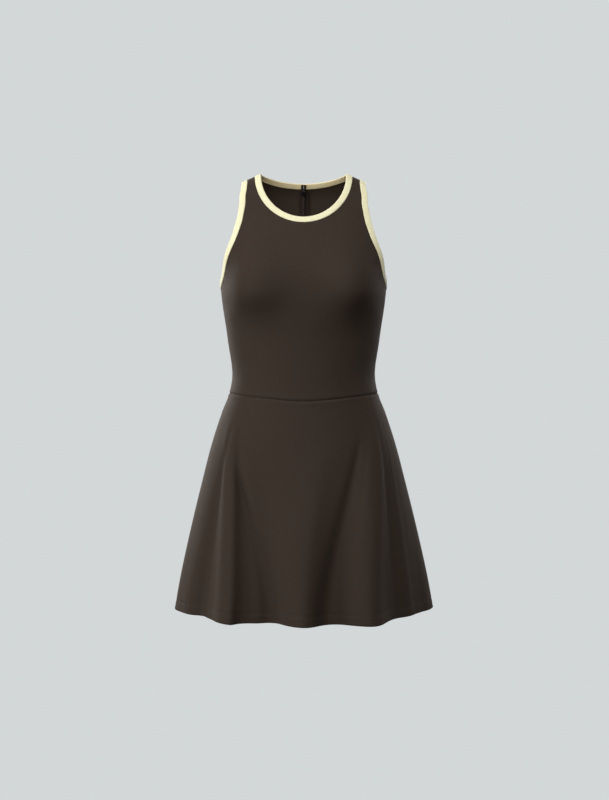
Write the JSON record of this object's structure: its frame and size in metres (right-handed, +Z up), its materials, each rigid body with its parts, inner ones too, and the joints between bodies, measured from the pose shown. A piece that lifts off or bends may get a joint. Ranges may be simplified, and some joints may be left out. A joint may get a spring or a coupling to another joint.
{
  "type": "sleeveless sports dress",
  "caption": "Sleeveless close-fitting sports dress with a flared short skirt, contrast bound neck and armholes, and a concealed zip at the centre back.",
  "frame": {"origin": "midway between the two shoulder seams, at the height of the shoulder line, where a wearer or hanger holds the dress up", "axes": "+Z up along the dress, -Y out of its front, +X to the wearer's left"},
  "size_m": [0.4644, 0.3595, 0.7808],
  "materials": {
    "knit": "matt stretch knit, dark brown",
    "binding": "matt folded stretch binding, cream",
    "zip_tape": "woven tape and nylon coil, dark brown",
    "zip_metal": "grey metal, satin"
  },
  "bodies": {
    "dress": {"front_bodice": "knit", "back_bodice_left": "knit", "back_bodice_right": "knit", "front_skirt": "knit", "back_skirt": "knit", "neck_binding": "binding", "armhole_binding_left": "binding", "armhole_binding_right": "binding", "zip_tape_left": "zip_tape", "zip_tape_right": "zip_tape", "zip_coil": "zip_tape", "zip_slider": "zip_metal", "zip_stop": "zip_metal"},
    "pull": {"zip_pull": "zip_metal"}
  },
  "joints": [
    {"name": "pull_hinge", "type": "hinge", "parent": "dress", "child": "pull", "pos_m": [0, 0.05633, -0.02385], "axis": [1, 0, 0], "range_deg": [0, 150]}
  ]
}
